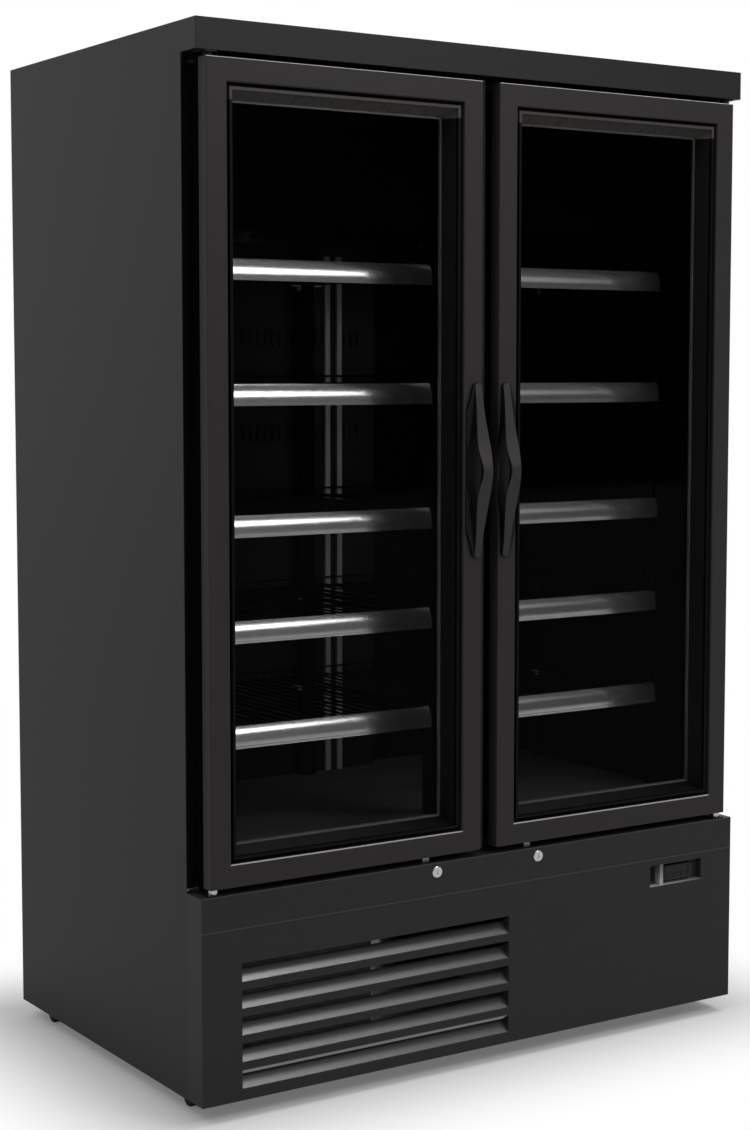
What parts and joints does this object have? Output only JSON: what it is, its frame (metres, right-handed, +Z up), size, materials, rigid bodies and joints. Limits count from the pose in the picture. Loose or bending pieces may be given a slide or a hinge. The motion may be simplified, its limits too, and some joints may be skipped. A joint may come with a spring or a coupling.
{
  "type": "upright display freezer",
  "caption": "Upright glass-door freezer cabinet on castors, with louvred base, wire shelves, locks, bowed handles and a working cold unit.",
  "frame": {"origin": "on the floor, at the centre of the overall footprint", "axes": "+X to the right seen from the front, +Y to the back, +Z up"},
  "size_m": [1.25, 0.8228, 1.939],
  "materials": {
    "charcoal_steel": "satin charcoal powder coat",
    "black_steel": "satin black",
    "galvanised": "galvanised sheet",
    "foam": "rigid polyurethane foam",
    "black_plastic": "fine-grained black",
    "charcoal_plastic": "satin charcoal",
    "dark_liner": "dark coated sheet",
    "rubber": "matt black",
    "glass": "clear tempered, double glazed",
    "spacer_metal": "perforated, matt",
    "silver": "bright plated",
    "zinc": "zinc plated",
    "wire": "dark coated wire",
    "rail": "smooth dark strip",
    "coil": "finned aluminium",
    "can": "black enamel",
    "fan_plastic": "black moulded",
    "display": "smooth black fascia"
  },
  "bodies": {
    "cabinet": {"outer_shell": "charcoal_steel", "insulation": "foam", "liner": "dark_liner", "front_frame": "black_plastic", "top_valance": "charcoal_steel", "base_strip": "charcoal_steel", "grille_panel": "charcoal_steel", "controller": "display", "hinge_brackets": "silver", "lock_barrels": "silver", "shelf_standards": "wire", "shelf_clips": "zinc", "shelves": "wire", "price_rails": "rail", "duct_cover": "dark_liner", "evaporator_hood": "dark_liner", "evaporator": "coil", "condenser": "coil", "fan_motors": "can", "fan_shroud": "black_steel", "compressor": "can", "chassis": "galvanised", "rear_cover": "galvanised", "drip_tray": "black_plastic"},
    "door_left": {"door_frame_left": "charcoal_plastic", "door_rear_frame_left": "black_plastic", "door_bead_left": "charcoal_plastic", "door_glass_left": "glass", "door_spacer_left": "spacer_metal", "door_gasket_left": "rubber", "handle_left": "black_plastic", "handle_strip_left": "charcoal_plastic"},
    "plug_left": {"lock_plug_left": "silver"},
    "bolt_left": {"lock_bolt_left": "zinc"},
    "evap_wheel_left": {"evaporator_fan_left": "fan_plastic"},
    "door_right": {"door_frame_right": "charcoal_plastic", "door_rear_frame_right": "black_plastic", "door_bead_right": "charcoal_plastic", "door_glass_right": "glass", "door_spacer_right": "spacer_metal", "door_gasket_right": "rubber", "handle_right": "black_plastic", "handle_strip_right": "charcoal_plastic"},
    "plug_right": {"lock_plug_right": "silver"},
    "bolt_right": {"lock_bolt_right": "zinc"},
    "evap_wheel_right": {"evaporator_fan_right": "fan_plastic"},
    "cond_wheel": {"condenser_fan": "fan_plastic"},
    "rocker": {"rocker_switch": "black_plastic"},
    "fork_front_left": {"castor_fork_front_left": "zinc"},
    "wheel_front_left": {"castor_wheel_front_left": "rubber"},
    "pedal_front_left": {"castor_pedal_front_left": "black_steel"},
    "fork_front_right": {"castor_fork_front_right": "zinc"},
    "wheel_front_right": {"castor_wheel_front_right": "rubber"},
    "pedal_front_right": {"castor_pedal_front_right": "black_steel"},
    "fork_rear_left": {"castor_fork_rear_left": "zinc"},
    "wheel_rear_left": {"castor_wheel_rear_left": "rubber"},
    "pedal_rear_left": {"castor_pedal_rear_left": "black_steel"},
    "fork_rear_right": {"castor_fork_rear_right": "zinc"},
    "wheel_rear_right": {"castor_wheel_rear_right": "rubber"},
    "pedal_rear_right": {"castor_pedal_rear_right": "black_steel"}
  },
  "joints": [
    {"name": "door_left_hinge", "type": "hinge", "parent": "cabinet", "child": "door_left", "pos_m": [-0.594, -0.3555, 0.4245], "axis": [0, 0, -1], "range_deg": [0, 110]},
    {"name": "key_left", "type": "hinge", "parent": "cabinet", "child": "plug_left", "pos_m": [-0.12, -0.3695, 0.395], "axis": [0, 1, 0], "range_deg": [0, 90]},
    {"name": "bolt_left_slide", "type": "slide", "parent": "cabinet", "child": "bolt_left", "axis": [0, 0, 1], "range_m": [0, 0.012]},
    {"name": "evaporator_fan_left_spin", "type": "hinge", "parent": "cabinet", "child": "evap_wheel_left", "pos_m": [-0.26, 0.1255, 1.617], "axis": [0, 0, 1], "continuous": true},
    {"name": "door_right_hinge", "type": "hinge", "parent": "cabinet", "child": "door_right", "pos_m": [0.594, -0.3555, 0.4245], "axis": [0, 0, 1], "range_deg": [0, 110]},
    {"name": "key_right", "type": "hinge", "parent": "cabinet", "child": "plug_right", "pos_m": [0.12, -0.3695, 0.395], "axis": [0, 1, 0], "range_deg": [0, 90]},
    {"name": "bolt_right_slide", "type": "slide", "parent": "cabinet", "child": "bolt_right", "axis": [0, 0, 1], "range_m": [0, 0.012]},
    {"name": "evaporator_fan_right_spin", "type": "hinge", "parent": "cabinet", "child": "evap_wheel_right", "pos_m": [0.26, 0.1255, 1.617], "axis": [0, 0, 1], "continuous": true},
    {"name": "condenser_fan_spin", "type": "hinge", "parent": "cabinet", "child": "cond_wheel", "pos_m": [-0.38, -0.2285, 0.197], "axis": [0, 1, 0], "continuous": true},
    {"name": "rocker_tip", "type": "hinge", "parent": "cabinet", "child": "rocker", "pos_m": [0.4205, -0.3475, 0.315], "axis": [1, 0, 0], "range_deg": [0, 12]},
    {"name": "swivel_front_left", "type": "hinge", "parent": "cabinet", "child": "fork_front_left", "pos_m": [-0.584, -0.2355, 0.06], "axis": [0, 0, 1], "continuous": true},
    {"name": "roll_front_left", "type": "hinge", "parent": "fork_front_left", "child": "wheel_front_left", "pos_m": [-0.58609, -0.25539, 0.0225], "axis": [0.9945, -0.1045, 0], "continuous": true},
    {"name": "brake_front_left", "type": "hinge", "parent": "fork_front_left", "child": "pedal_front_left", "pos_m": [-0.5817, -0.21362, 0.027], "axis": [0.9945, -0.1045, 0], "range_deg": [-12, 0]},
    {"name": "swivel_front_right", "type": "hinge", "parent": "cabinet", "child": "fork_front_right", "pos_m": [0.584, -0.2355, 0.06], "axis": [0, 0, 1], "continuous": true},
    {"name": "roll_front_right", "type": "hinge", "parent": "fork_front_right", "child": "wheel_front_right", "pos_m": [0.58609, -0.25539, 0.0225], "axis": [0.9945, 0.1045, 0], "continuous": true},
    {"name": "brake_front_right", "type": "hinge", "parent": "fork_front_right", "child": "pedal_front_right", "pos_m": [0.5817, -0.21362, 0.027], "axis": [0.9945, 0.1045, 0], "range_deg": [-12, 0]},
    {"name": "swivel_rear_left", "type": "hinge", "parent": "cabinet", "child": "fork_rear_left", "pos_m": [-0.584, 0.3545, 0.06], "axis": [0, 0, 1], "continuous": true},
    {"name": "roll_rear_left", "type": "hinge", "parent": "fork_rear_left", "child": "wheel_rear_left", "pos_m": [-0.58609, 0.33461, 0.0225], "axis": [0.9945, -0.1045, 0], "continuous": true},
    {"name": "brake_rear_left", "type": "hinge", "parent": "fork_rear_left", "child": "pedal_rear_left", "pos_m": [-0.5817, 0.37638, 0.027], "axis": [0.9945, -0.1045, 0], "range_deg": [-12, 0]},
    {"name": "swivel_rear_right", "type": "hinge", "parent": "cabinet", "child": "fork_rear_right", "pos_m": [0.584, 0.3545, 0.06], "axis": [0, 0, 1], "continuous": true},
    {"name": "roll_rear_right", "type": "hinge", "parent": "fork_rear_right", "child": "wheel_rear_right", "pos_m": [0.58609, 0.33461, 0.0225], "axis": [0.9945, 0.1045, 0], "continuous": true},
    {"name": "brake_rear_right", "type": "hinge", "parent": "fork_rear_right", "child": "pedal_rear_right", "pos_m": [0.5817, 0.37638, 0.027], "axis": [0.9945, 0.1045, 0], "range_deg": [-12, 0]}
  ],
  "couplings": [
    {"joint": "key_left", "follows": "bolt_left_slide", "rad_per_m": 130.9},
    {"joint": "key_right", "follows": "bolt_right_slide", "rad_per_m": 130.9}
  ]
}
